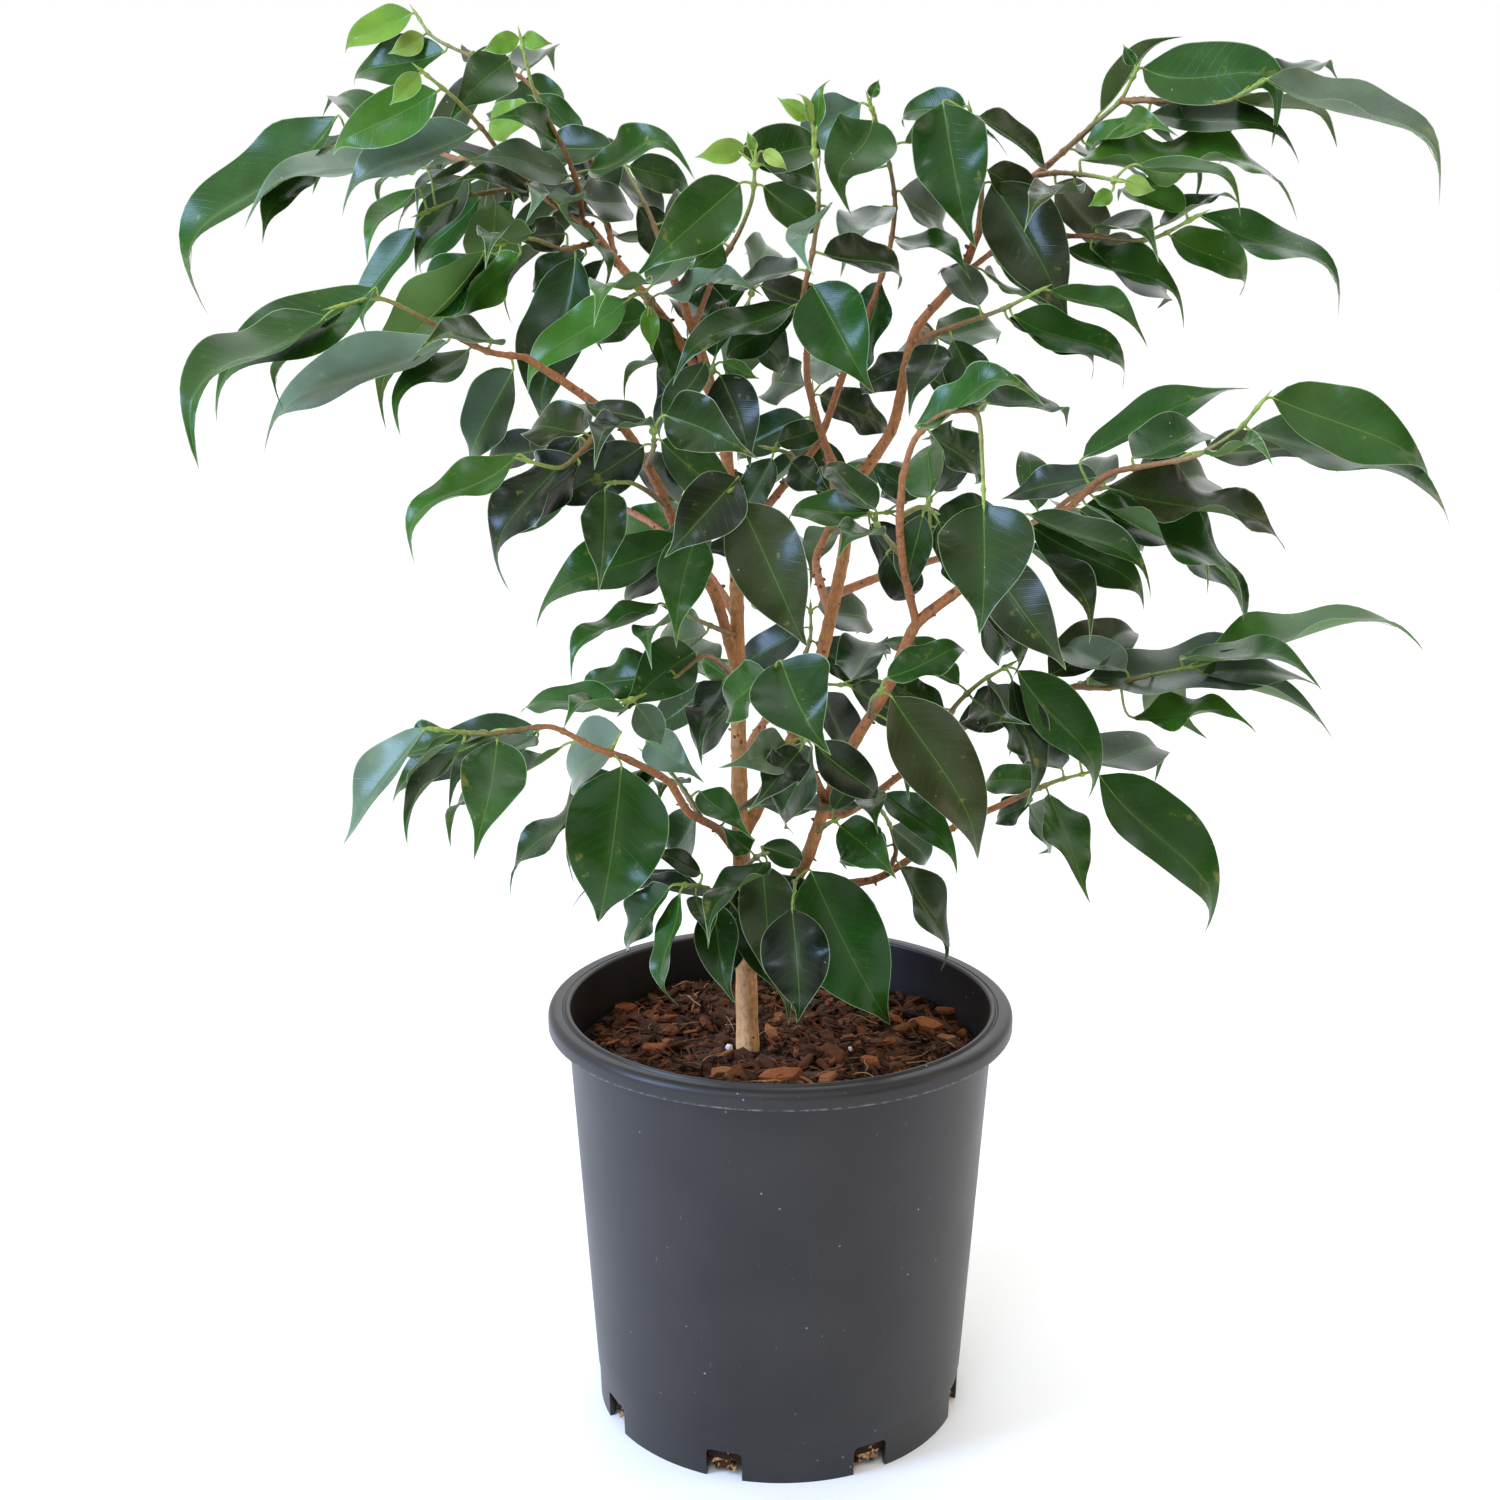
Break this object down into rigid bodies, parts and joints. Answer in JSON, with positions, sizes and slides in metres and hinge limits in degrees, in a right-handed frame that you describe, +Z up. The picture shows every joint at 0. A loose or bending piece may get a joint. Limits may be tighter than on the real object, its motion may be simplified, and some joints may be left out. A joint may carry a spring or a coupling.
{
  "type": "potted weeping fig",
  "caption": "Young weeping fig with arching leafy sprays on a forked trunk, in a black tapered nursery pot filled with bark mix.",
  "frame": {"origin": "on the pot's axis at the foot of the pot, under the middle of the whole plant", "axes": "+Z up along the pot's axis and the trunk, -Y to the front of the plant, +X to its right"},
  "size_m": [0.5223, 0.3833, 0.6035],
  "materials": {
    "pot_plastic": "black moulded polypropylene with a soft sheen and fine dust",
    "bark_mix": "moist composted bark chips and fibres, matt",
    "bark": "smooth young bark, tan to orange brown, with pale lenticels",
    "green_leaf": "waxy leaf with a satin gloss, pale midrib and margins"
  },
  "bodies": {
    "root": {"pot": "pot_plastic", "potting_mix": "bark_mix", "trunk": "bark", "spray_upper_left_tip": "green_leaf", "spray_upper_left_low": "green_leaf", "spray_left_shoot_high": "green_leaf", "spray_left_shoot_mid": "green_leaf", "spray_left_shoot_green": "green_leaf", "spray_left_inner": "green_leaf", "spray_left_bright": "green_leaf", "spray_left_tip": "green_leaf", "spray_left_low": "green_leaf", "spray_left_dark": "green_leaf", "spray_left_hanging": "green_leaf", "spray_left_centre": "green_leaf", "spray_trunk_left": "green_leaf", "spray_trunk_left_low": "green_leaf", "spray_low_left": "green_leaf", "spray_low_left_inner": "green_leaf", "spray_low_centre": "green_leaf", "spray_low_rim": "green_leaf", "spray_low_front": "green_leaf", "spray_stem_low": "green_leaf", "spray_low_right": "green_leaf", "spray_low_right_inner": "green_leaf", "spray_right_side": "green_leaf", "spray_right_side_inner": "green_leaf", "spray_right_olive": "green_leaf", "spray_front": "green_leaf", "spray_front_under": "green_leaf", "spray_twin_stem": "green_leaf", "spray_twin_stem_low": "green_leaf", "spray_twin_stem_side": "green_leaf", "spray_right_fore": "green_leaf", "spray_right_tip": "green_leaf", "spray_right_back": "green_leaf", "spray_trunk_top": "green_leaf", "spray_centre": "green_leaf", "spray_inner": "green_leaf", "spray_trunk_front": "green_leaf", "spray_bud_stem": "green_leaf", "spray_centre_right": "green_leaf", "spray_right_crown_front": "green_leaf", "spray_right_crown_tip": "green_leaf", "spray_right_crown_low": "green_leaf", "spray_right_crown_under": "green_leaf", "spray_right_mid": "green_leaf", "spray_crown_back": "green_leaf", "spray_crown_back_right": "green_leaf", "spray_back_low": "green_leaf", "spray_back_low_left": "green_leaf", "spray_back_low_right": "green_leaf", "spray_back_high": "green_leaf", "spray_back_high_low": "green_leaf", "spray_back_left": "green_leaf", "spray_back_left_inner": "green_leaf", "spray_right_back_tip": "green_leaf", "spray_right_back_inner": "green_leaf"}
  },
  "joints": []
}
